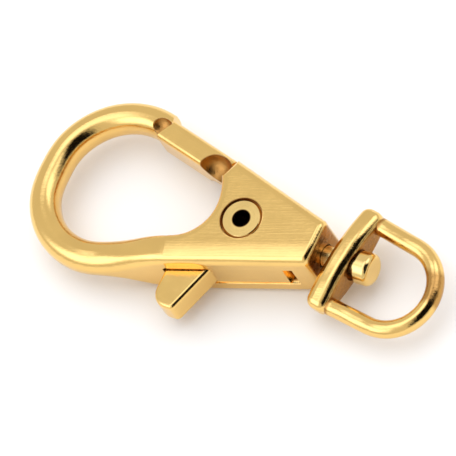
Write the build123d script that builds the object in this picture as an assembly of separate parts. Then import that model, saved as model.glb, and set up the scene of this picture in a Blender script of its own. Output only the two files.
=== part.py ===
"""Swivel trigger clasp: die-cast hook, sprung gate lever, tubular rivet, swivel post and eye."""
import math
import os

from build123d import *

os.makedirs("parts", exist_ok=True)

# Frame: +X runs along the swivel axis from hook to eye, +Y to the gate side, +Z up.
# Every piece is laid out about the pivot at mid thickness, then raised by LIFT and moved
# by the two shifts so the assembly stands on Z = 0 with its middle at X = Y = 0.
BODY_T = 5.6                    # body thickness over the two cheeks
HALF_T = BODY_T / 2
LIFT = HALF_T
SHIFT_X = 1.04
SHIFT_Y = 0.45
SNAP = 0.01                     # slack allowed when an edge is picked by its place
FUSE = 0.1                      # depth that joined shapes run into each other

# Hook loop: a bent, nearly round bar. Its centreline follows two circles seen from above,
# and its sections stand on rays from a hub.
HUB = (-13.3, 0.0)
UPPER_MID = (-13.2, 0.475, 6.35)    # centre and radius of the centreline's circles
LOWER_MID = (-13.55, -0.45, 6.0)
UPPER_DEGS = (56, 76, 97, 118, 139, 160, 180)
LOWER_DEGS = (201, 222, 240, 256, 271, 285)
BAR_THICK = 2.9                 # bar thickness along Z
BAR_TIP_W = 2.44                # its width in plan at the tip, growing to the second at the
BAR_END_W = 2.8                 # start of the straight part
CORNER_SHARE = 0.49             # corner radius of its section over its width
GROW_SHARES = (0.35, 0.7, 1.0, 1.05)    # stations along the straight part, where it thickens
BAR_SET_IN = 0.02               # the bar ends this far inside the body's faces

# Wedge of the body
WEDGE_DEG = 16.5                # slope of the lower body edge
WEDGE_DIST = 4.1                # distance of that edge from the pivot
TOP_DEG = 15.8                  # the same for the upper edge
TOP_DIST = 3.98
BODY_END_X = 7.3                # end face that the post leaves
END_ROUND = 0.5
CHEEK_TOP_X = -2.9              # upper corner of the cheeks
CHEEK_NOSE = (-3.74, 3.2)       # corner beside the gate's shoulder
CHEEK_MID = (-2.97, 1.0)        # waist of the cheek edge facing the opening
BAR_JOIN_IN = (-5.71, -3.12)    # the bar meets the cheeks on the line from here
BAR_JOIN_X = -4.97              # to the lower edge at this X
BODY_ROUND = 0.75               # rounding along the cheeks
FAR = 30.0                      # reach of cutting shapes past the part

# Hook tip, a slanted end with a lip over the gate
TIP_TRIM = [(-11.7, 3.5), (-11.6, 5.3), (-10.75, 6.6), (-10.8, 7.0), (-11.4, 8.2), (-11.4, 9.0),
            (-6.0, 9.0), (-6.0, 3.5)]
TIP_HOLLOW = (-11.4, 5.85, 2.0)    # ball-shaped hollow in the front and back edge of the end
TIP_HOLLOW_R = 1.2

# Pivot rivet and its seats
RIVET_R = 1.15
RIVET_HOLE_R = 0.78
HEAD_R = 1.75
HEAD_T = 0.42
SEAT_R = 1.86
SEAT_T = 0.47
HEAD_CHAMFER = 0.12
PIVOT_BORE_R = 1.14             # cheeks grip the shank

# Slot between the cheeks
SLOT_HALF = 1.3
SLOT_END_X = 5.7
SLOT_LEFT_X = -5.4
BRIDGE_X = 1.7                  # the upper edge is closed from here to the end
BRIDGE_T = 0.9
TAB_CHAMFER = 0.35
TAB_CHAMFER_DROP = 0.2          # the chamfer's axis lies this far outside the lower edge

# Gate lever
TANG_HALF = 1.2
GATE_HALF_T = 1.7
GATE_HUB = (-13.3, 0.2)         # the gate's long faces keep their distance from here
GATE_SLOPE_DEG = 14.5
GATE_OUT = 7.3                  # distance of its outer face, and of its inner one
GATE_IN = 5.2
LEVER_BORE_R = 1.2
GATE_ROUND = 0.7                # rounding of the outer face's long edges
GATE_IN_ROUND = 0.5             # and of the inner face's
GATE_LONG = 4.0                 # its long edges are longer than this
SHOULDER_X = -4.4               # the thick gate ends on a slant from here
SHOULDER_TOP_X = -3.45          # to here, and the thinner tang goes on
SCOOP_X = -4.9
SCOOP_R = 1.7                   # a ball-shaped hollow in each face beside the shoulder
SCOOP_Z = 2.1
SCOOP_SPAN = 1.65               # its radius at the gate's face
RIM_W = 0.4                     # rim left along the outer edge beside the scoop
POCKET_R = 2.3
POCKET_T = 1.15
EDGE_SET_IN = 0.08              # lever edge sits this far inside the body edge

GATE_END = [(-11.42, 5.2), (-10.58, 6.48), (-10.42, 7.0)]
TANG_TOP_X = 1.3
TANG_TOP = [(1.45, 2.6), (2.4, 1.6), (4.6, -0.8), (4.95, -1.9)]
TAIL_X = 4.8
TANG_LEFT = [(-5.25, -5.0), (-3.9, -3.2), (-2.8, -1.2)]
TANG_LEFT_X = -2.8
FIXED_LEG_ROOM = [(0.0, -0.5), (FAR, -0.5), (FAR, 2.3), (0.0, 2.3)]
MOVING_LEG_ROOM = [(-2.6, 1.4), (0.0, 1.4), (0.0, 1.96), (-2.6, 1.96)]

# Thumb tab, closed pose
TAB_LEFT_X = -5.25
TAB_RIGHT_X = -1.4
TAB_FOOT_X = -3.0
TAB_FOOT_Y = -8.95
TAB_LEFT_R = 1.5
TAB_RIGHT_R = 0.45
TAB_ROUND = 0.35                # rounding of its front and back edges
TAB_ROUND_Y = -5.9              # edges with their middle below this are the tab's

# Torsion spring
WIRE_R = 0.16
COIL_R = 1.72
COIL_PITCH = 0.36
COIL_TURNS = 2.0
COIL_FOOT = 0.03                # air between coil and the lever's back face
FIXED_LEG_END = (3.6, 1.9)
MOVING_LEG_X = -2.35

# Swivel post
POST_R = 0.95
INNER_HEAD_R = 1.25
INNER_HEAD_T = 0.4
INNER_SEAT_R = 1.35
INNER_SEAT_X = 6.2
HEAD_PLAY = 0.06
POST_BORE_R = 1.02
POST_HEAD_GAP = 0.4             # lets the eye tilt under the head
POST_HEAD_R = 1.42
POST_HEAD_T = 1.3
POST_HEAD_ROUND = 0.5

# Swivel eye, laid out about the middle of its bar
EYE_X = 9.27                    # middle of the bar on the swivel axis
EYE_OFF_Y = 0.08                # it hangs this far to one side in its loose bore
EYE_TILT_DEG = 10.0             # and rests tilted toward the tab side
EYE_SWIVEL_DEG = 5.0            # and slightly turned about the swivel axis
EYE_LEG_Y = 3.99                # leg centreline at the bar
EYE_BOW_Y = 3.85                # leg centreline where the bow starts
EYE_BOW_X = 4.9
EYE_WIRE_R = 0.77
BAR_T = 2.1
BAR_MID_H = 1.74                # half height of the bar at the post's hole
BAR_TIP_H = 0.88                # and at its ends
BAR_EDGE_ROUND = 0.8
BAR_OVERHANG = 0.1
EYE_BORE_R = 1.28


def wedge_y(x, dist, slope_deg, cx=0.0, cy=0.0):
    """Height at x of the falling line that keeps a distance from a centre."""
    slope = math.radians(slope_deg)
    return cy + (dist - (x - cx) * math.sin(slope)) / math.cos(slope)


def hub_point(degrees, circle):
    """Where the ray from the hub meets a circle."""
    turn = math.radians(degrees)
    ray = Vector(math.cos(turn), math.sin(turn))
    away = Vector(circle[0] - HUB[0], circle[1] - HUB[1])
    along = away.dot(ray)
    reach = along + math.sqrt(along**2 - away.length**2 + circle[2] ** 2)
    return Vector(*HUB) + ray * reach


def plate(points, half):
    """Straight-sided prism about mid thickness."""
    outline = make_face(Polyline(*points, close=True).edges())
    return extrude(Plane.XY.offset(-half) * outline, amount=2 * half)


def disc(radius, z0, z1):
    """Cylinder about the pivot."""
    return extrude(Plane.XY.offset(z0) * Circle(radius), amount=z1 - z0)


def rod(radius, x0, x1):
    """Cylinder along X on the swivel axis."""
    return extrude(Plane.YZ.offset(x0) * Circle(radius), amount=x1 - x0)


def bar_join():
    """Inner and outer ends of the line where the bar meets the cheeks."""
    outer = (BAR_JOIN_X, -wedge_y(BAR_JOIN_X, WEDGE_DIST, WEDGE_DEG))
    return Vector(*BAR_JOIN_IN), Vector(*outer)


def bar_section(inner, outer, thickness, corner):
    """Rounded section standing on the line between two points of the plan."""
    across = outer - inner
    plane = Plane(origin=(inner + outer) / 2, x_dir=across, z_dir=across.cross(Vector(0, 0, 1)))
    return plane * RectangleRounded(across.length, thickness, corner)


def loop_edges(degrees, circle):
    """Inner and outer edge of the loop on one ray from the hub."""
    share = (degrees - UPPER_DEGS[0]) / (LOWER_DEGS[-1] - UPPER_DEGS[0])
    width = BAR_TIP_W + (BAR_END_W - BAR_TIP_W) * share**2
    middle = hub_point(degrees, circle)
    ray = (middle - Vector(*HUB)).normalized()
    return middle - ray * width / 2, middle + ray * width / 2


def loop_section(degrees, circle):
    """Section of the loop on one ray from the hub."""
    inner, outer = loop_edges(degrees, circle)
    return bar_section(inner, outer, BAR_THICK, CORNER_SHARE * (outer - inner).length)


def straight_section(share):
    """Section along the straight part, from the loop (0) to the cheeks (1)."""
    grown = min(share, 1.0)
    blend = grown**2 * (3 - 2 * grown)
    join_in, join_out = bar_join()
    start_in, start_out = loop_edges(LOWER_DEGS[-1], LOWER_MID)
    inner = start_in + (join_in - start_in) * share
    outer = start_out + (join_out - start_out) * share
    inset = (outer - inner).normalized() * BAR_SET_IN * blend
    thickness = BAR_THICK + (BODY_T - 2 * BAR_SET_IN - BAR_THICK) * blend
    round_start = CORNER_SHARE * BAR_END_W
    corner = round_start + (BODY_ROUND - round_start) * blend
    return bar_section(inner + inset, outer - inset, thickness, corner)


def hook_bar():
    """Bent bar from the tip round to the cheeks."""
    sections = [loop_section(degrees, UPPER_MID) for degrees in UPPER_DEGS]
    sections += [loop_section(degrees, LOWER_MID) for degrees in LOWER_DEGS]
    sections += [straight_section(share) for share in GROW_SHARES]
    return loft(sections)


def cheek_outline():
    """Both cheeks seen from above, without the slot."""
    join_in, join_out = bar_join()
    start = join_in - loop_edges(LOWER_DEGS[-1], LOWER_MID)[0]
    top_left = (CHEEK_TOP_X, wedge_y(CHEEK_TOP_X, TOP_DIST, TOP_DEG))
    top_right = (BODY_END_X, wedge_y(BODY_END_X, TOP_DIST, TOP_DEG))
    low_right = (BODY_END_X, -wedge_y(BODY_END_X, WEDGE_DIST, WEDGE_DEG))
    waist = TangentArc(join_in, CHEEK_MID, tangent=start)
    lines = [
        Line(top_left, top_right),
        Line(top_right, low_right),
        Line(low_right, join_out),
        Line(join_out, join_in),
        waist,
        TangentArc(CHEEK_MID, CHEEK_NOSE, tangent=waist % 1),
        Line(CHEEK_NOSE, top_left),
    ]
    return make_face(lines)


def cheek_block():
    """Cheeks before slot, seats and bores are cut, rounded along their outline."""
    block = extrude(Plane.XY.offset(-HALF_T) * cheek_outline(), amount=BODY_T)
    join_in, join_out = bar_join()
    middle = (join_in + join_out) / 2

    def long_edge(edge):
        spot = edge.center()
        on_face = abs(spot.Z) > HALF_T - SNAP
        at_join = (Vector(spot.X, spot.Y) - middle).length < SNAP
        return on_face and not at_join and spot.X < BODY_END_X - SNAP

    return fillet(block.edges().filter_by(long_edge), BODY_ROUND)


def slot_cut():
    """Room between the cheeks for the tang, open at the hook side and along the lower edge."""
    under_bridge = TOP_DIST - BRIDGE_T
    points = [
        (SLOT_LEFT_X, -FAR),
        (SLOT_END_X, -FAR),
        (SLOT_END_X, wedge_y(SLOT_END_X, under_bridge, TOP_DEG)),
        (BRIDGE_X, wedge_y(BRIDGE_X, under_bridge, TOP_DEG)),
        (BRIDGE_X, FAR),
        (SLOT_LEFT_X, FAR),
    ]
    return plate(points, SLOT_HALF)


def tab_chamfer():
    """Slanted relief above the thumb tab, along the front edge of its opening."""
    edge_y = -wedge_y(TAB_RIGHT_X, WEDGE_DIST, WEDGE_DEG)
    length = TAB_RIGHT_X - SLOT_LEFT_X
    block = Box(length, 2 * TAB_CHAMFER, 2 * TAB_CHAMFER)
    block = Rot(45, 0, 0) * block
    middle_x = (TAB_RIGHT_X + SLOT_LEFT_X) / 2
    spot = Pos(middle_x, edge_y - TAB_CHAMFER_DROP, SLOT_HALF)
    return spot * Rot(0, 0, WEDGE_DEG) * block


def make_hook():
    """Die-cast hook, lower bar and two cheeks in one piece."""
    bar = hook_bar() - plate(TIP_TRIM, FAR)
    for side in (1, -1):
        bar -= Pos(TIP_HOLLOW[0], TIP_HOLLOW[1], side * TIP_HOLLOW[2]) * Sphere(TIP_HOLLOW_R)
    body = cheek_block() + bar
    end_rim = body.edges().filter_by(lambda edge: abs(edge.center().X - BODY_END_X) < SNAP)
    body = fillet(end_rim, END_ROUND)
    body -= slot_cut()
    body -= tab_chamfer()
    body -= disc(PIVOT_BORE_R, -HALF_T, HALF_T)
    body -= disc(SEAT_R, HALF_T - SEAT_T, HALF_T)
    body -= disc(SEAT_R, -HALF_T, SEAT_T - HALF_T)
    body -= rod(POST_BORE_R, SLOT_END_X, BODY_END_X)
    return body - rod(INNER_SEAT_R, SLOT_END_X - FUSE, INNER_SEAT_X)


def make_rivet():
    """Tubular rivet with two flared heads sunk in the cheeks."""
    top = HALF_T - SEAT_T
    rivet = disc(RIVET_R, -top, top)
    rivet += disc(HEAD_R, top, top + HEAD_T)
    rivet += disc(HEAD_R, -top - HEAD_T, -top)
    rims = rivet.edges().filter_by(lambda edge: abs(abs(edge.center().Z) - top - HEAD_T) < SNAP)
    rivet = chamfer(rims, HEAD_CHAMFER)
    return rivet - disc(RIVET_HOLE_R, -HALF_T, HALF_T)


def gate_line(x, dist):
    """Height of the gate's long faces at x."""
    return wedge_y(x, dist, GATE_SLOPE_DEG, GATE_HUB[0], GATE_HUB[1])


def make_gate_arm():
    """Full-thickness part of the gate, from the hook tip to the scooped shoulder."""
    points = [
        (GATE_END[0][0], gate_line(GATE_END[0][0], GATE_IN)),
        GATE_END[0],
        GATE_END[1],
        (GATE_END[2][0], gate_line(GATE_END[2][0], GATE_OUT)),
        (SHOULDER_TOP_X, gate_line(SHOULDER_TOP_X, GATE_OUT)),
        (SHOULDER_X, gate_line(SHOULDER_X, GATE_IN)),
    ]
    arm = plate(points, GATE_HALF_T)
    middle = (GATE_IN + GATE_OUT) / 2

    def long_edge(edge, outer):
        spot = edge.center()
        on_side = (spot.Y > gate_line(spot.X, middle)) == outer
        return on_side and abs(spot.Z) > GATE_HALF_T - SNAP and edge.length > GATE_LONG

    arm = fillet(arm.edges().filter_by(lambda edge: long_edge(edge, True)), GATE_ROUND)
    return fillet(arm.edges().filter_by(lambda edge: long_edge(edge, False)), GATE_IN_ROUND)


def tang_outline():
    """Pivot tang with the tab and the tail, seen from above."""
    top = TOP_DIST - EDGE_SET_IN
    low = WEDGE_DIST - EDGE_SET_IN
    join_x = SHOULDER_X - 1
    return [
        (join_x, gate_line(join_x, GATE_OUT) - EDGE_SET_IN),
        (TANG_TOP_X, wedge_y(TANG_TOP_X, top, TOP_DEG)),
        *TANG_TOP,
        (TAIL_X, -wedge_y(TAIL_X, low, WEDGE_DEG)),
        (TAB_RIGHT_X, -wedge_y(TAB_RIGHT_X, low, WEDGE_DEG)),
        (TAB_FOOT_X, TAB_FOOT_Y),
        (TAB_LEFT_X, TAB_FOOT_Y),
        *TANG_LEFT,
        (TANG_LEFT_X, gate_line(TANG_LEFT_X, GATE_IN)),
        (join_x, gate_line(join_x, GATE_IN)),
    ]


def round_tab(tang):
    """Round both faces' edges round the thumb tab."""
    def tab_edge(edge):
        spot = edge.center()
        return spot.Y < TAB_ROUND_Y and abs(spot.Z) > TANG_HALF - SNAP

    return fillet(tang.edges().filter_by(tab_edge), TAB_ROUND)


def make_lever():
    """Gate, pivot tang and thumb tab in one casting."""
    tang = plate(tang_outline(), TANG_HALF)
    foot = tang.edges().filter_by(Axis.Z).filter_by(lambda edge: edge.center().Y < TAB_FOOT_Y + SNAP)
    foot = foot.sort_by(Axis.X)
    tang = fillet(foot[0], TAB_LEFT_R)
    foot = tang.edges().filter_by(Axis.Z).sort_by_distance(Vector(TAB_FOOT_X, TAB_FOOT_Y, 0))
    tang = fillet(foot[0], TAB_RIGHT_R)
    lever = round_tab(tang) + make_gate_arm()
    scoop_y = gate_line(SCOOP_X, GATE_OUT - RIM_W) - SCOOP_SPAN
    for side in (1, -1):
        lever -= Pos(SCOOP_X, scoop_y, side * SCOOP_Z) * Sphere(SCOOP_R)
    lever -= disc(LEVER_BORE_R, -HALF_T, HALF_T)
    lever -= disc(POCKET_R, -HALF_T, POCKET_T - TANG_HALF)
    floor = Plane.XY.offset(POCKET_T - TANG_HALF)
    for room in (FIXED_LEG_ROOM, MOVING_LEG_ROOM):
        outline = make_face(Polyline(*room, close=True).edges())
        lever -= extrude(floor * outline, amount=-HALF_T)
    return lever


def wire_run(a, b):
    """Straight run of spring wire."""
    path = Line(a, b)
    return sweep(Plane(origin=a, z_dir=path % 0) * Circle(WIRE_R), path=path)


def make_spring():
    """Wire torsion spring coiled round the rivet in the lever's pocket."""
    foot = COIL_FOOT + WIRE_R - TANG_HALF
    height = COIL_PITCH * COIL_TURNS
    coil = Pos(0, 0, foot) * Rot(0, 0, 90) * Helix(COIL_PITCH, height, COIL_R)
    wire = Wire([coil])
    section = Plane(origin=wire @ 0, z_dir=wire % 0) * Circle(WIRE_R)
    spring = sweep(section, path=wire, is_frenet=True)
    spring += wire_run(wire @ 0, Vector(FIXED_LEG_END[0], FIXED_LEG_END[1], foot))
    spring += wire_run(wire @ 1, Vector(MOVING_LEG_X, COIL_R, foot + height))
    return spring


def make_post():
    """Headed stud: small head in the body, peened head inside the eye."""
    head_x = EYE_X + BAR_T / 2 + POST_HEAD_GAP
    crown_x = head_x + POST_HEAD_T
    inner_x = INNER_SEAT_X - HEAD_PLAY - INNER_HEAD_T
    post = rod(POST_R, inner_x, head_x + FUSE)
    post += rod(INNER_HEAD_R, inner_x, inner_x + INNER_HEAD_T)
    head = rod(POST_HEAD_R, head_x, crown_x)
    crown = head.edges().filter_by(lambda edge: edge.center().X > crown_x - SNAP)
    return post + fillet(crown, POST_HEAD_ROUND)


def make_eye_bar(half_len):
    """Cross bar, tallest round the post's hole and slimmer toward both ends."""
    outline = [
        ThreePointArc((-half_len, -BAR_TIP_H), (0, -BAR_MID_H), (half_len, -BAR_TIP_H)),
        Line((half_len, -BAR_TIP_H), (half_len, BAR_TIP_H)),
        ThreePointArc((half_len, BAR_TIP_H), (0, BAR_MID_H), (-half_len, BAR_TIP_H)),
        Line((-half_len, BAR_TIP_H), (-half_len, -BAR_TIP_H)),
    ]
    bar = extrude(Plane.YZ.offset(-BAR_T / 2) * make_face(outline), amount=BAR_T)
    return fillet(bar.edges(), BAR_EDGE_ROUND)


def make_eye():
    """D-shaped eye with its round wire bow, in its resting tilt."""
    far = (EYE_BOW_X, EYE_BOW_Y)
    bow = [
        Line((0, EYE_LEG_Y), far),
        ThreePointArc(far, (EYE_BOW_X + EYE_BOW_Y, 0), (EYE_BOW_X, -EYE_BOW_Y)),
        Line((EYE_BOW_X, -EYE_BOW_Y), (0, -EYE_LEG_Y)),
    ]
    path = Wire(bow)
    section = Plane(origin=(0, EYE_LEG_Y, 0), z_dir=path % 0) * Circle(EYE_WIRE_R)
    eye = sweep(section, path=path, transition=Transition.ROUND)
    eye += make_eye_bar(EYE_LEG_Y + EYE_WIRE_R + BAR_OVERHANG)
    eye -= rod(EYE_BORE_R, -BAR_T, BAR_T)
    eye = Pos(EYE_X, EYE_OFF_Y, 0) * Rot(0, 0, -EYE_TILT_DEG) * eye
    return Rot(EYE_SWIVEL_DEG, 0, 0) * eye


def place(solid):
    """Raise from mid thickness to the rest face and centre on the origin."""
    return Pos(SHIFT_X, SHIFT_Y, LIFT) * solid


def main():
    """Write one STEP file for each piece."""
    pieces = {
        "hook_body": make_hook(),
        "gate_lever": make_lever(),
        "pivot_rivet": make_rivet(),
        "gate_spring": make_spring(),
        "swivel_post": make_post(),
        "swivel_eye": make_eye(),
    }
    for name, solid in pieces.items():
        export_step(place(solid), f"parts/{name}.step")


main()
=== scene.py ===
"""Looks for the swivel snap hook: plated metal, pale floor, soft studio light, camera."""
import math

import bpy
from mathutils import Matrix, Vector


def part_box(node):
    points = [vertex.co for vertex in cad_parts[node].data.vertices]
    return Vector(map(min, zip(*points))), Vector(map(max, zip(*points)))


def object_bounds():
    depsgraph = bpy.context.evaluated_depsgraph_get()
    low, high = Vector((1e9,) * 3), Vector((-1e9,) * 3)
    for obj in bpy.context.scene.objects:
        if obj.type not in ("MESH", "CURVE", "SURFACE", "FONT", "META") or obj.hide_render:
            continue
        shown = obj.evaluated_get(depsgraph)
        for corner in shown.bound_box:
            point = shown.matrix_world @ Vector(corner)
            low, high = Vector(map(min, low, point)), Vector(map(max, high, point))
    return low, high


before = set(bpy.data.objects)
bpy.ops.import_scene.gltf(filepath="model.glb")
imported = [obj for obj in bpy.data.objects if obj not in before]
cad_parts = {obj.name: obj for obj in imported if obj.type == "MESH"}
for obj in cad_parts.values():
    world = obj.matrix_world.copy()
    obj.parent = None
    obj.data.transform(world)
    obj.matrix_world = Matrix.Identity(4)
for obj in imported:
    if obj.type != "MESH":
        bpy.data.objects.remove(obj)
cad_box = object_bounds()

MM = 0.001
VIEW_WIDTH = 38.0           # millimetres across the frame at the part
AIM_RIGHT = -1.083          # millimetres from the rivet's front centre to the frame's middle
AIM_UP = -0.833
LENS = 900.0                # a long lens, so that the view is nearly parallel
SENSOR = 36.0
CLIP_END = 20.0             # metres

rivet_low, rivet_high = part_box("pivot_rivet")
PIVOT = Vector(((rivet_low[0] + rivet_high[0]) / 2, (rivet_low[1] + rivet_high[1]) / 2, cad_box[1].z))
CENTRE = (cad_box[0] + cad_box[1]) / 2

# Camera axes in the part's frame: image right, image up, and toward the camera.
RIGHT = Vector((0.8461, 0.4264, -0.3200)).normalized()
UP = Vector((-0.2658, 0.8579, 0.4410))
UP = (UP - RIGHT * UP.dot(RIGHT)).normalized()
BACK = RIGHT.cross(UP)

GOLD = (0.86, 0.565, 0.185)
GOLD_PALE = (0.90, 0.63, 0.23)
STEEL = (0.42, 0.41, 0.40)
HOLLOW_SHADE = (0.50, 0.37, 0.28)  # painted shade tint of the hollows and gaps
BORE_SHADE = (0.22, 0.16, 0.13)   # painted shade tint in the rivet's bore
GLOW = (0.92, 0.97, 1.15)
SKY = (1.0, 0.995, 0.985)
SKY_STRENGTH = 0.8

# Range of a noise pattern that is used; the rest of it is cut off.
NOISE_LOW = 0.3
NOISE_HIGH = 0.7

# Patterns of the plated castings: noise scales per metre, and bump depths in metres
CLOUD_SCALE = 260
BRUSH_SCALE = 300
BRUSH_STRETCH = (1.0, 26.0, 26.0)
BRUSH_DEPTH = 0.000014
FINE_SCALE = 3000
FINE_DEPTH = 0.000005
RIPPLE_SCALE = 420
SKIN_SCALE = 1300           # rough cast skin in the dull places
SKIN_DEPTH = 0.00009
DULL_ROUGH = 0.18          # added roughness there
SEED_WAY = (1.0, 0.7, 0.3)  # direction in which a seed shifts the patterns

# Patterns of the turned and rolled pieces: rings per millimetre, the others per metre
RING_SCALE = 9.0
RING_DEPTH = 0.000006
DENT_SCALE = 500
DENT_DEPTH = 0.00003

WIRE_SCALE = 900
WIRE_FINE_SCALE = 5000
WIRE_DEPTH = 0.00001

# Places on the part, in millimetres in the part's frame
MID_Z = 2.8
TIP_HOLLOW = (-10.36, 6.30, 4.8)
TIP_HOLLOW_R = 1.2
SCOOP = (-3.86, 3.955, 4.9)
SCOOP_R = 1.7
GROOVE_R = 1.82             # middle of the gap round the rivet's head
GROOVE_HALF = 0.05
RIVET_BORE_R = 0.80
SLOT_HALF = 1.3
SLOT_MOUTH = 0.45           # the slot's painted shade, with its dullness, ends this far inside the edge and begins this far from the rivet along X
SLOT_START = -5.0           # and begins this far from the rivet along X
EYE_CENTRE = (10.31, 0.53, 2.807)
EYE_AXIS = (0.985, -0.173, -0.015)
EYE_RING = (1.30, 1.75)     # radii between which the painted shade and dullness round the post's hole fade
END_X = 8.28                # the end face's painted shade and dullness begin here
SKIN_GAP = 0.02             # a shaded, dull place reaches this far past its surface
CROWN_START = (-11.0, -3.0)     # the edges' roll grows between these, from the rivet along X
LOW_EDGE = math.radians(16.5)
HIGH_EDGE = math.radians(15.8)
CROWNS = [                  # direction across the edge, its distance from the rivet, width, slope
    ((math.sin(LOW_EDGE), -math.cos(LOW_EDGE), 0), 4.1, 2.0, 0.26),
    ((math.sin(HIGH_EDGE), math.cos(HIGH_EDGE), 0), 3.98, 1.2, 0.12),
]

FLOOR_SIZE = 6.0            # metres
FLOOR_DROP = 0.00002
LIGHT_DISTANCE = 0.5
CARD_DISTANCE = 0.28
GLOW_DISTANCE = 0.30
PANEL_COLUMNS = 24
PANEL_ROWS = 12


class Nodes:
    """Short way to add and join the nodes of one material."""

    def __init__(self, name):
        self.material = bpy.data.materials.new(name)
        self.material.use_nodes = True
        self.tree = self.material.node_tree
        self.shader = self.tree.nodes["Principled BSDF"]
        self.coords = self.add("ShaderNodeTexCoord").outputs["Object"]

    def add(self, kind, **settings):
        """New node with some of its settings."""
        node = self.tree.nodes.new(kind)
        for key, value in settings.items():
            setattr(node, key, value)
        return node

    def join(self, source, target):
        """Link from an output to an input."""
        self.tree.links.new(source, target)

    def math(self, operation, a, b=0.0):
        """One math node; a and b are sockets or numbers."""
        node = self.add("ShaderNodeMath", operation=operation)
        for socket, value in zip(node.inputs, (a, b)):
            if isinstance(value, bpy.types.NodeSocket):
                self.join(value, socket)
            else:
                socket.default_value = value
        return node.outputs["Value"]

    def stretched(self, scale, turn):
        """Coordinates with their own scale along each axis, turned about Z."""
        mapping = self.add("ShaderNodeMapping", vector_type="TEXTURE")
        mapping.inputs["Scale"].default_value = [1 / value for value in scale]
        mapping.inputs["Rotation"].default_value = (0, 0, turn)
        self.join(self.coords, mapping.inputs["Vector"])
        return mapping.outputs["Vector"]

    def noise(self, vector, scale, detail=3.0, rough=0.5):
        """Noise pattern, from 0 to 1."""
        node = self.add("ShaderNodeTexNoise")
        node.inputs["Scale"].default_value = scale
        node.inputs["Detail"].default_value = detail
        node.inputs["Roughness"].default_value = rough
        self.join(vector, node.inputs["Vector"])
        return node.outputs["Fac"]

    def span(self, value, low, high, start=NOISE_LOW, end=NOISE_HIGH, smooth=False):
        """Map a value from start..end to low..high."""
        node = self.add("ShaderNodeMapRange")
        node.interpolation_type = "SMOOTHSTEP" if smooth else "LINEAR"
        node.inputs["From Min"].default_value = start
        node.inputs["From Max"].default_value = end
        node.inputs["To Min"].default_value = low
        node.inputs["To Max"].default_value = high
        self.join(value, node.inputs["Value"])
        return node.outputs["Result"]

    def inside(self, value, limit, soft):
        """Mask that is 1 up to the limit and fades to 0 past it."""
        return self.span(value, 1.0, 0.0, limit, limit + soft)

    def beyond(self, value, limit, soft):
        """Mask that is 0 up to the limit and grows to 1 past it."""
        return self.span(value, 0.0, 1.0, limit, limit + soft)

    def two_tone(self, value, dark, light):
        """Colour between dark and light, led by a noise pattern."""
        ramp = self.add("ShaderNodeValToRGB")
        ramp.color_ramp.elements[0].position = NOISE_LOW
        ramp.color_ramp.elements[0].color = (*dark, 1)
        ramp.color_ramp.elements[1].position = NOISE_HIGH
        ramp.color_ramp.elements[1].color = (*light, 1)
        self.join(value, ramp.inputs["Fac"])
        return ramp.outputs["Color"]

    def offset(self, point):
        """Vector from a point to the shaded place, in millimetres."""
        moved = self.add("ShaderNodeVectorMath", operation="MULTIPLY_ADD")
        self.join(self.coords, moved.inputs[0])
        moved.inputs[1].default_value = (1 / MM, 1 / MM, 1 / MM)
        moved.inputs[2].default_value = tuple(-value for value in point)
        return moved.outputs["Vector"]

    def mirrored(self, point):
        """Like offset, but the back of the part takes the point's mirror image at the back."""
        split = self.add("ShaderNodeSeparateXYZ")
        self.join(self.offset((point[0], point[1], MID_Z)), split.inputs["Vector"])
        height = self.math("ABSOLUTE", split.outputs["Z"])
        joined = self.add("ShaderNodeCombineXYZ")
        self.join(split.outputs["X"], joined.inputs["X"])
        self.join(split.outputs["Y"], joined.inputs["Y"])
        self.join(self.math("SUBTRACT", height, point[2] - MID_Z), joined.inputs["Z"])
        return joined.outputs["Vector"]

    def length(self, vector, weights=(1.0, 1.0, 1.0)):
        """Length of a vector; a weight of 0 leaves an axis out."""
        scaled = self.add("ShaderNodeVectorMath", operation="MULTIPLY")
        self.join(vector, scaled.inputs[0])
        scaled.inputs[1].default_value = weights
        node = self.add("ShaderNodeVectorMath", operation="LENGTH")
        self.join(scaled.outputs["Vector"], node.inputs[0])
        return node.outputs["Value"]

    def along(self, vector, direction):
        """How far a vector reaches along a direction."""
        node = self.add("ShaderNodeVectorMath", operation="DOT_PRODUCT")
        self.join(vector, node.inputs[0])
        node.inputs[1].default_value = direction
        return node.outputs["Value"]

    def tinted(self, colour, mask, tint):
        """A colour multiplied by a tint where the mask is 1."""
        node = self.add("ShaderNodeMix", data_type="RGBA", blend_type="MULTIPLY")
        self.join(mask, node.inputs[0])
        self.join(colour, node.inputs[6])
        node.inputs[7].default_value = (*tint, 1)
        return node.outputs[2]

    def bump(self, height, depth, strength=1.0, normal=None):
        """Bumped normal, on top of another one where there is one."""
        node = self.add("ShaderNodeBump")
        node.inputs["Distance"].default_value = depth
        node.inputs["Strength"].default_value = strength
        self.join(height, node.inputs["Height"])
        if normal is not None:
            self.join(normal, node.inputs["Normal"])
        return node.outputs["Normal"]


def shade(colour, amount):
    """A colour made darker or lighter."""
    return tuple(c * amount for c in colour)


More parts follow.
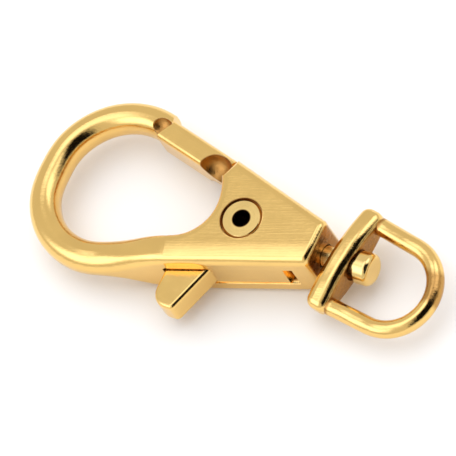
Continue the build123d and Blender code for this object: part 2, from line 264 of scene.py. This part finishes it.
def plated_casting(name, brush_turn, seed, lumps, polish, shaded_dull_places, crown=None):
    """Gold plate on a die casting: soft lumps, brushed flats, dull hollows with painted shade and
    rolled edges.
    """
    n = Nodes(name)
    n.shader.inputs["Metallic"].default_value = 1.0
    # mask of the hollows and gaps: painted shade in the colour, plus more roughness and a cast skin
    shade_and_dull = shaded_dull_places(n)
    normal = n.bump(crown(n), MM) if crown else None
    shifted = n.add("ShaderNodeVectorMath", operation="ADD")
    n.join(n.coords, shifted.inputs[0])
    shifted.inputs[1].default_value = [seed * way for way in SEED_WAY]
    n.coords = shifted.outputs["Vector"]
    cloud = n.noise(n.coords, CLOUD_SCALE, detail=2.0)
    tint = n.two_tone(cloud, shade(GOLD, 0.96), shade(GOLD, 1.04))
    brushing = n.noise(n.stretched(BRUSH_STRETCH, brush_turn), BRUSH_SCALE, detail=5.0, rough=0.65)
    fine = n.noise(n.coords, FINE_SCALE, detail=2.0)
    rough = n.math("ADD", n.span(brushing, polish, 2 * polish), n.span(fine, -0.02, 0.03))
    rough = n.math("ADD", rough, n.math("MULTIPLY", shade_and_dull, DULL_ROUGH))
    # painted shade: the base colour is darkened in the hollows and gaps
    n.join(n.tinted(tint, shade_and_dull, HOLLOW_SHADE), n.shader.inputs["Base Color"])
    n.join(rough, n.shader.inputs["Roughness"])
    ripple = n.noise(n.coords, RIPPLE_SCALE, detail=1.0, rough=0.3)
    skin = n.noise(n.coords, SKIN_SCALE, detail=2.0, rough=0.6)
    normal = n.bump(ripple, lumps, 0.5, normal)
    normal = n.bump(n.math("MULTIPLY", skin, shade_and_dull), SKIN_DEPTH, 0.7, normal)
    normal = n.bump(fine, FINE_DEPTH, 0.6, normal)
    normal = n.bump(brushing, BRUSH_DEPTH, 0.8, normal)
    n.join(normal, n.shader.inputs["Normal"])
    return n.material


def hook_shade_and_dull(n):
    """Mask of the hook's painted shade and dullness: tip hollow, gap round the rivet, end face and
    slot walls.
    """
    from_rivet = n.offset(PIVOT / MM)
    hollow = n.inside(n.length(n.mirrored(TIP_HOLLOW)), TIP_HOLLOW_R + SKIN_GAP, 0.06)
    ring = n.math("SUBTRACT", n.length(from_rivet, (1.0, 1.0, 0.0)), GROOVE_R)
    groove = n.inside(n.math("ABSOLUTE", ring), GROOVE_HALF, 0.07)
    end = n.beyond(n.along(n.offset((0, 0, 0)), (1, 0, 0)), END_X, 0.05)
    level = n.math("ABSOLUTE", n.along(n.offset((0, 0, MID_Z)), (0, 0, 1)))
    slot = n.inside(level, SLOT_HALF + 0.01, 0.02)
    for direction, edge, _, _ in CROWNS:
        within = n.inside(n.along(from_rivet, direction), edge - SLOT_MOUTH, 0.25)
        slot = n.math("MULTIPLY", slot, within)
    slot = n.math("MULTIPLY", slot, n.beyond(n.along(from_rivet, (1, 0, 0)), SLOT_START, 0.4))
    return n.math("MAXIMUM", n.math("MAXIMUM", hollow, groove), n.math("MAXIMUM", end, slot))


def hook_crown(n):
    """Height, in millimetres, of the cheeks' polished-over lower and upper edges."""
    from_rivet = n.offset(PIVOT / MM)
    height = 0.0
    for direction, edge, width, slope in CROWNS:
        rise = n.beyond(n.along(from_rivet, direction), edge - width, width)
        drop = n.math("MULTIPLY", n.math("MULTIPLY", rise, rise), -slope * width / 2)
        height = n.math("ADD", height, drop)
    start = n.span(n.along(from_rivet, (1, 0, 0)), 0.0, 1.0, *CROWN_START, smooth=True)
    return n.math("MULTIPLY", height, start)


def lever_shade_and_dull(n):
    """Mask of painted shade and dullness in the ball-shaped scoop in both faces of the gate."""
    return n.inside(n.length(n.mirrored(SCOOP)), SCOOP_R + SKIN_GAP, 0.08)


def eye_shade_and_dull(n):
    """Mask of painted shade and dullness: a ring round the post's hole, and the inner face of the
    eye's bar with its corners.
    """
    ring = n.length(n.offset((0, PIVOT.y / MM, MID_Z)), (0.0, 1.0, 1.0))
    hole = n.span(ring, 0.8, 0.0, *EYE_RING)
    reach = n.along(n.offset(EYE_CENTRE), EYE_AXIS)
    face = n.math("MULTIPLY", n.beyond(reach, 0.90, 0.12), n.inside(reach, 1.10, 0.25))
    return n.math("MAXIMUM", hole, face)


def turned_metal(name, centre, weights, bore=None):
    """Gold plate on a turned or rolled piece, with fine rings about its own axis.

    The weights are 0 along that axis. A bore radius paints shade on the places inside it.
    """
    n = Nodes(name)
    n.shader.inputs["Metallic"].default_value = 1.0
    radius = n.length(n.offset(centre), weights)
    ring = n.add("ShaderNodeCombineXYZ")
    n.join(radius, ring.inputs["X"])
    rings = n.noise(ring.outputs["Vector"], RING_SCALE, detail=2.0)
    dents = n.noise(n.coords, DENT_SCALE, detail=2.0)
    tint = n.two_tone(dents, shade(GOLD_PALE, 0.93), shade(GOLD_PALE, 1.03))
    if bore:
        # painted shade inside the bore
        tint = n.tinted(tint, n.inside(radius, bore, 0.06), BORE_SHADE)
    n.join(tint, n.shader.inputs["Base Color"])
    rough = n.math("ADD", n.span(rings, 0.14, 0.24), n.span(dents, -0.02, 0.03))
    n.join(rough, n.shader.inputs["Roughness"])
    normal = n.bump(dents, DENT_DEPTH, 0.5)
    normal = n.bump(rings, RING_DEPTH, 0.6, normal)
    n.join(normal, n.shader.inputs["Normal"])
    return n.material


def drawn_wire(name):
    """Bare steel spring wire with drawing marks and faint tarnish."""
    n = Nodes(name)
    n.shader.inputs["Metallic"].default_value = 1.0
    tarnish = n.noise(n.coords, WIRE_SCALE)
    tint = n.two_tone(tarnish, shade(STEEL, 0.8), shade(STEEL, 1.25))
    n.join(tint, n.shader.inputs["Base Color"])
    n.join(n.span(tarnish, 0.25, 0.42), n.shader.inputs["Roughness"])
    marks = n.noise(n.coords, WIRE_FINE_SCALE)
    n.join(n.bump(marks, WIRE_DEPTH, 0.5), n.shader.inputs["Normal"])
    return n.material


def paper_floor():
    """Seamless white paper under the part."""
    bpy.ops.mesh.primitive_plane_add(size=FLOOR_SIZE, location=(0, 0, -FLOOR_DROP))
    floor = bpy.context.object
    floor.name = "floor"
    n = Nodes("floor_paper")
    cloud = n.noise(n.coords, 8.0, detail=2.0)
    tint = n.two_tone(cloud, (0.935, 0.93, 0.94), (0.95, 0.945, 0.955))
    n.join(tint, n.shader.inputs["Base Color"])
    n.shader.inputs["Roughness"].default_value = 0.9
    n.shader.inputs["Specular IOR Level"].default_value = 0.1
    floor.data.materials.append(n.material)
    return floor


def on_sphere(azimuth, elevation, radius):
    """Point round the part at a compass angle and a height angle, in degrees."""
    turn = math.radians(azimuth)
    rise = math.radians(elevation)
    level = math.cos(rise)
    away = Vector((math.cos(turn) * level, math.sin(turn) * level, math.sin(rise)))
    return CENTRE + away * radius


def key_light(name, azimuth, elevation, size, radiance):
    """Square area light that lights the floor and the part softly."""
    light = bpy.data.lights.new(name, "AREA")
    light.shape = "SQUARE"
    light.size = size
    light.energy = radiance * math.pi * size**2
    obj = bpy.data.objects.new(name, light)
    bpy.context.collection.objects.link(obj)
    obj.visible_camera = False
    obj.visible_glossy = False
    obj.location = on_sphere(azimuth, elevation, LIGHT_DISTANCE)
    obj.rotation_euler = (CENTRE - obj.location).to_track_quat("-Z", "Y").to_euler()


def fade(share, edge):
    """Rise from 0 at both ends of 0..1 to 1 in the middle."""
    near = min(share, 1 - share)
    t = min(1.0, near / edge) if edge else 1.0
    return t * t * (3 - 2 * t)


def panel(name, azimuths, elevations, radius, edge):
    """Curved panel round the part with soft edges, seen only in the metal's reflections."""
    points, strengths, faces = [], [], []
    for i in range(PANEL_COLUMNS + 1):
        u = i / PANEL_COLUMNS
        azimuth = azimuths[0] + (azimuths[1] - azimuths[0]) * u
        for j in range(PANEL_ROWS + 1):
            v = j / PANEL_ROWS
            elevation = elevations[0] + (elevations[1] - elevations[0]) * v
            points.append(on_sphere(azimuth, elevation, radius))
            strengths.append(fade(u, edge) * fade(v, edge))
    row = PANEL_ROWS + 1
    for i in range(PANEL_COLUMNS):
        for j in range(PANEL_ROWS):
            first = i * row + j
            faces.append((first, first + row, first + row + 1, first + 1))
    mesh = bpy.data.meshes.new(name)
    mesh.from_pydata(points, [], faces)
    soft = mesh.attributes.new("soft", "FLOAT", "POINT")
    soft.data.foreach_set("value", strengths)
    obj = bpy.data.objects.new(name, mesh)
    bpy.context.collection.objects.link(obj)
    obj.visible_camera = False
    obj.visible_shadow = False
    obj.visible_diffuse = False
    return obj


def dark_card(name, azimuths, elevations):
    """Black felt card that gives the metal its dark reflections."""
    card = panel(name, azimuths, elevations, CARD_DISTANCE, edge=0.0)
    n = Nodes(name + "_felt")
    felt = n.two_tone(n.noise(n.coords, 40.0), (0.004, 0.004, 0.004), (0.012, 0.010, 0.009))
    n.join(felt, n.shader.inputs["Base Color"])
    n.shader.inputs["Roughness"].default_value = 1.0
    n.shader.inputs["Specular IOR Level"].default_value = 0.0
    card.data.materials.append(n.material)
    return card


def glow_panel(name, azimuths, elevations, radiance, edge):
    """White lit panel with soft edges that gives the metal its bright bands."""
    glow = panel(name, azimuths, elevations, GLOW_DISTANCE, edge)
    n = Nodes(name + "_cloth")
    light = n.add("ShaderNodeEmission")
    n.join(n.two_tone(n.noise(n.coords, 9.0), shade(GLOW, 0.96), GLOW), light.inputs["Color"])
    light.inputs["Strength"].default_value = radiance
    soft = n.add("ShaderNodeAttribute", attribute_name="soft")
    mix = n.add("ShaderNodeMixShader")
    n.join(soft.outputs["Fac"], mix.inputs["Fac"])
    n.join(n.add("ShaderNodeBsdfTransparent").outputs["BSDF"], mix.inputs[1])
    n.join(light.outputs["Emission"], mix.inputs[2])
    n.join(mix.outputs["Shader"], n.tree.nodes["Material Output"].inputs["Surface"])
    glow.data.materials.append(n.material)
    return glow


def studio_world():
    """Even pale light from all round."""
    world = bpy.data.worlds.new("studio")
    bpy.context.scene.world = world
    world.use_nodes = True
    background = world.node_tree.nodes["Background"]
    background.inputs["Color"].default_value = (*SKY, 1)
    background.inputs["Strength"].default_value = SKY_STRENGTH


def long_camera():
    """Camera far off, looking at the part along the view axes."""
    camera = bpy.data.objects.new("camera", bpy.data.cameras.new("camera"))
    bpy.context.collection.objects.link(camera)
    bpy.context.scene.camera = camera
    camera.data.lens = LENS
    camera.data.sensor_width = SENSOR
    camera.data.clip_end = CLIP_END
    aim = PIVOT + (RIGHT * AIM_RIGHT + UP * AIM_UP) * MM
    distance = VIEW_WIDTH * MM * LENS / SENSOR
    turn = Matrix((RIGHT, UP, BACK)).transposed().to_4x4()
    camera.matrix_world = Matrix.Translation(aim + BACK * distance) @ turn


def set_material(node, material):
    """Give every slot of a CAD node one material."""
    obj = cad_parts[node]
    if not obj.material_slots:
        obj.data.materials.append(material)
    for one in obj.material_slots:
        one.link = "OBJECT"
        one.material = material


set_material("hook_body", plated_casting(
    "gold_hook", brush_turn=0.30, seed=0.0, lumps=0.00003, polish=0.075,
    shaded_dull_places=hook_shade_and_dull, crown=hook_crown))
set_material("gate_lever", plated_casting(
    "gold_lever", brush_turn=-0.25, seed=0.013, lumps=0.00004, polish=0.085, shaded_dull_places=lever_shade_and_dull))
set_material("swivel_eye", plated_casting(
    "gold_eye", brush_turn=0.17, seed=0.029, lumps=0.00034, polish=0.05, shaded_dull_places=eye_shade_and_dull))
set_material("pivot_rivet", turned_metal(
    "gold_rivet", PIVOT / MM, weights=(1.0, 1.0, 0.0), bore=RIVET_BORE_R))
post_low, post_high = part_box("swivel_post")
post_centre = (0.0, (post_low[1] + post_high[1]) / 2 / MM, (post_low[2] + post_high[2]) / 2 / MM)
set_material("swivel_post", turned_metal("gold_post", post_centre, weights=(0.0, 1.0, 1.0)))
set_material("gate_spring", drawn_wire("spring_steel"))

key_light("key", azimuth=125, elevation=68, size=0.8, radiance=1.2)
stage = [
    paper_floor(),
    glow_panel("front_glow", azimuths=(-165, -76), elevations=(12, 68), radiance=2.3, edge=0.3),
    glow_panel("back_glow", azimuths=(24, 84), elevations=(24, 74), radiance=2.1, edge=0.25),
    glow_panel("top_glow", azimuths=(70, 285), elevations=(60, 92), radiance=1.9, edge=0.2),
    dark_card("dark_card", azimuths=(-50, 22), elevations=(14, 78)),
]

studio_world()
long_camera()
bpy.context.scene.view_settings.view_transform = "Standard"
